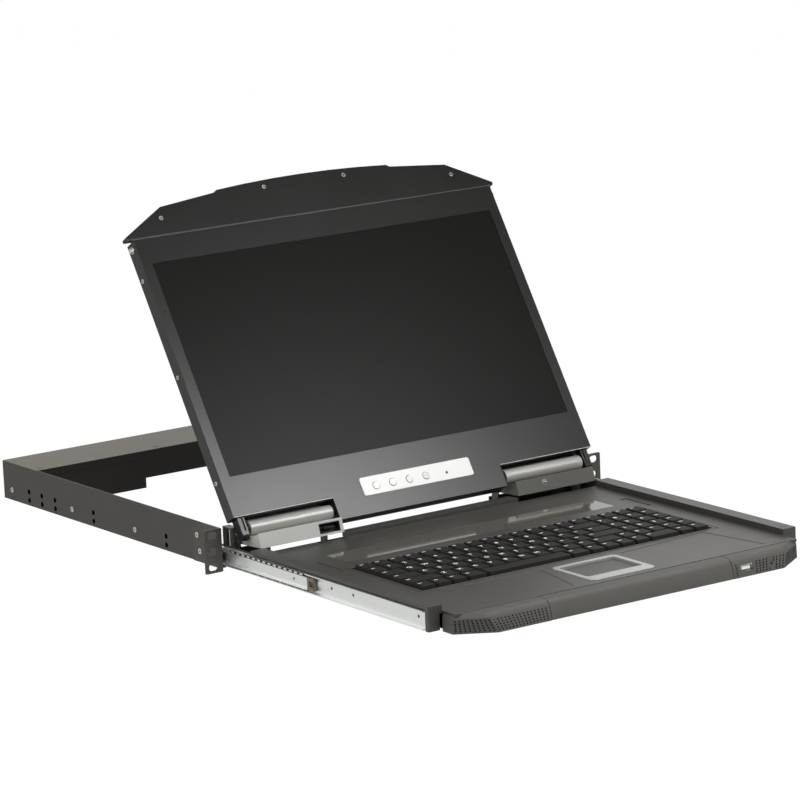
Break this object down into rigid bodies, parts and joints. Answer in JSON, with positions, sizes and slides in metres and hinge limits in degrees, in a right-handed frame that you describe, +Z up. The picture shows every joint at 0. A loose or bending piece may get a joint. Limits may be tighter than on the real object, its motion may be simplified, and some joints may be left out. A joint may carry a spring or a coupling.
{
  "type": "rackmount lcd console drawer",
  "caption": "Sliding rack console with a tilting flat screen over a keyboard deck, on telescopic ball slides",
  "frame": {"origin": "centre of the plane on which the rear faces of the two rack ears seat", "axes": "X across the rack, +Y into the rack, +Z up; shown with the drawer fully out and the display open"},
  "size_m": [0.4826, 0.8102, 0.347],
  "materials": {
    "chassis_paint": "dark grey powder coat",
    "ear_paint": "dark grey powder coat",
    "zinc_steel": "zinc-plated rolled steel",
    "cage_steel": "thin plated steel strip and polished balls",
    "bumper_plastic": "moulded nylon",
    "tray_steel": "dark grey paint",
    "deck_plastic": "finely textured",
    "handle_plastic": "finely textured",
    "grip_plastic": "finely textured",
    "window_gloss": "gloss black",
    "key_plastic": "satin black",
    "plate_plastic": "black moulding",
    "pad_silver": "satin silver",
    "pad_surface": "fine matt film",
    "pad_button": "satin silver",
    "bracket_steel": "plated sheet steel",
    "link_silver": "silver grey paint",
    "link_dark": "dark grey paint",
    "barrel_silver": "silver grey paint",
    "connector_metal": "plated shell",
    "connector_plastic": "black",
    "rocker_plastic": "black",
    "board_green": "solder mask",
    "supply_case": "bare plated case",
    "bezel_paint": "satin dark grey paint",
    "back_paint": "satin dark grey paint",
    "screen_glass": "dark panel, soft reflections",
    "lip_paint": "dark grey paint",
    "osd_white": "white overlay",
    "osd_button": "grey",
    "arm_paint": "dark grey paint",
    "screw_steel": "plated"
  },
  "bodies": {
    "chassis": {"side_wall_left": "chassis_paint", "side_wall_right": "chassis_paint", "rack_ear_left": "ear_paint", "rack_ear_right": "ear_paint", "rear_box": "chassis_paint", "box_front": "chassis_paint", "rear_panel": "chassis_paint", "rear_box_cover": "chassis_paint", "main_board": "board_green", "power_supply": "supply_case", "power_inlet": "connector_plastic", "rear_ports": "connector_metal", "chassis_screws": "screw_steel", "slide_outer_members": "zinc_steel"},
    "mains_rocker": {"power_rocker": "rocker_plastic"},
    "middle_member_left": {"slide_middle_left": "zinc_steel", "slide_bumper_left": "bumper_plastic"},
    "middle_member_right": {"slide_middle_right": "zinc_steel", "slide_bumper_right": "bumper_plastic"},
    "front_cage_left": {"front_ball_cage_left": "cage_steel"},
    "front_cage_right": {"front_ball_cage_right": "cage_steel"},
    "rear_cage_left": {"rear_ball_cage_left": "cage_steel"},
    "rear_cage_right": {"rear_ball_cage_right": "cage_steel"},
    "drawer": {"slide_inner_members": "zinc_steel", "tray_pan": "tray_steel", "keyboard_deck": "deck_plastic", "window_strip": "window_gloss", "front_handle": "handle_plastic", "grips": "grip_plastic", "usb_port": "connector_metal", "touchpad_frame": "pad_silver", "touchpad_pad": "pad_surface", "keyboard_plate": "plate_plastic", "controller_board": "board_green", "hinge_brackets": "bracket_steel", "tray_screws": "screw_steel"},
    "pad_button_left": {"touchpad_button_left": "pad_button"},
    "pad_button_right": {"touchpad_button_right": "pad_button"},
    "hinge_links": {"hinge_housing_left": "link_silver", "hinge_housing_right": "link_dark", "hinge_barrels": "barrel_silver", "hinge_port_left": "connector_plastic", "hinge_jack_right": "connector_metal"},
    "display": {"display_back_cover": "back_paint", "display_bezel": "bezel_paint", "lcd_panel": "screen_glass", "lip_plate": "lip_paint", "osd_plate": "osd_white", "display_hinge_arms": "arm_paint", "display_pins_and_screws": "screw_steel"},
    "keys_function_row_body": {"keys_function_row": "key_plastic"},
    "keys_number_row_body": {"keys_number_row": "key_plastic"},
    "keys_upper_row_body": {"keys_upper_row": "key_plastic"},
    "keys_home_row_body": {"keys_home_row": "key_plastic"},
    "keys_lower_row_body": {"keys_lower_row": "key_plastic"},
    "keys_space_row_body": {"keys_space_row": "key_plastic"},
    "osd_key_1": {"osd_button_1": "osd_button"},
    "osd_key_2": {"osd_button_2": "osd_button"},
    "osd_key_3": {"osd_button_3": "osd_button"},
    "osd_key_4": {"osd_button_4": "osd_button"}
  },
  "joints": [
    {"name": "drawer_slide", "type": "slide", "parent": "chassis", "child": "drawer", "axis": [0, 1, 0], "range_m": [0, 0.33]},
    {"name": "middle_slide_left", "type": "slide", "parent": "chassis", "child": "middle_member_left", "axis": [0, 1, 0], "range_m": [0, 0.165]},
    {"name": "front_cage_slide_left", "type": "slide", "parent": "chassis", "child": "front_cage_left", "axis": [0, 1, 0], "range_m": [0, 0.2475]},
    {"name": "rear_cage_slide_left", "type": "slide", "parent": "chassis", "child": "rear_cage_left", "axis": [0, 1, 0], "range_m": [0, 0.0825]},
    {"name": "middle_slide_right", "type": "slide", "parent": "chassis", "child": "middle_member_right", "axis": [0, 1, 0], "range_m": [0, 0.165]},
    {"name": "front_cage_slide_right", "type": "slide", "parent": "chassis", "child": "front_cage_right", "axis": [0, 1, 0], "range_m": [0, 0.2475]},
    {"name": "rear_cage_slide_right", "type": "slide", "parent": "chassis", "child": "rear_cage_right", "axis": [0, 1, 0], "range_m": [0, 0.0825]},
    {"name": "hinge_lift", "type": "hinge", "parent": "drawer", "child": "hinge_links", "pos_m": [0, -0.00494, 0.007], "axis": [1, 0, 0], "range_deg": [-1.3, 21]},
    {"name": "display_tilt", "type": "hinge", "parent": "hinge_links", "child": "display", "pos_m": [0, -0.0181, 0.0203], "axis": [1, 0, 0], "range_deg": [-6, 101.14]},
    {"name": "pad_click_left", "type": "slide", "parent": "drawer", "child": "pad_button_left", "axis": [0, 0, -1], "range_m": [0, 0.0007], "stiffness_N_per_m": 900},
    {"name": "pad_click_right", "type": "slide", "parent": "drawer", "child": "pad_button_right", "axis": [0, 0, -1], "range_m": [0, 0.0007], "stiffness_N_per_m": 900},
    {"name": "keys_function_row_press", "type": "slide", "parent": "drawer", "child": "keys_function_row_body", "axis": [0, 0, -1], "range_m": [0, 0.002], "stiffness_N_per_m": 4000},
    {"name": "keys_number_row_press", "type": "slide", "parent": "drawer", "child": "keys_number_row_body", "axis": [0, 0, -1], "range_m": [0, 0.002], "stiffness_N_per_m": 4000},
    {"name": "keys_upper_row_press", "type": "slide", "parent": "drawer", "child": "keys_upper_row_body", "axis": [0, 0, -1], "range_m": [0, 0.002], "stiffness_N_per_m": 4000},
    {"name": "keys_home_row_press", "type": "slide", "parent": "drawer", "child": "keys_home_row_body", "axis": [0, 0, -1], "range_m": [0, 0.002], "stiffness_N_per_m": 4000},
    {"name": "keys_lower_row_press", "type": "slide", "parent": "drawer", "child": "keys_lower_row_body", "axis": [0, 0, -1], "range_m": [0, 0.002], "stiffness_N_per_m": 4000},
    {"name": "keys_space_row_press", "type": "slide", "parent": "drawer", "child": "keys_space_row_body", "axis": [0, 0, -1], "range_m": [0, 0.002], "stiffness_N_per_m": 4000},
    {"name": "osd_key_1_press", "type": "slide", "parent": "display", "child": "osd_key_1", "axis": [0, 0.8468, -0.532], "range_m": [0, 0.0008], "stiffness_N_per_m": 900},
    {"name": "osd_key_2_press", "type": "slide", "parent": "display", "child": "osd_key_2", "axis": [0, 0.8468, -0.532], "range_m": [0, 0.0008], "stiffness_N_per_m": 900},
    {"name": "osd_key_3_press", "type": "slide", "parent": "display", "child": "osd_key_3", "axis": [0, 0.8468, -0.532], "range_m": [0, 0.0008], "stiffness_N_per_m": 900},
    {"name": "osd_key_4_press", "type": "slide", "parent": "display", "child": "osd_key_4", "axis": [0, 0.8468, -0.532], "range_m": [0, 0.0008], "stiffness_N_per_m": 900},
    {"name": "mains_rocker_tilt", "type": "hinge", "parent": "chassis", "child": "mains_rocker", "pos_m": [-0.122, 0.4225, 0.0005], "axis": [1, 0, 0], "range_deg": [0, 18]}
  ],
  "couplings": [
    {"joint": "middle_slide_left", "follows": "drawer_slide", "ratio": 0.5},
    {"joint": "front_cage_slide_left", "follows": "drawer_slide", "ratio": 0.75},
    {"joint": "rear_cage_slide_left", "follows": "drawer_slide", "ratio": 0.25},
    {"joint": "middle_slide_right", "follows": "drawer_slide", "ratio": 0.5},
    {"joint": "front_cage_slide_right", "follows": "drawer_slide", "ratio": 0.75},
    {"joint": "rear_cage_slide_right", "follows": "drawer_slide", "ratio": 0.25}
  ]
}
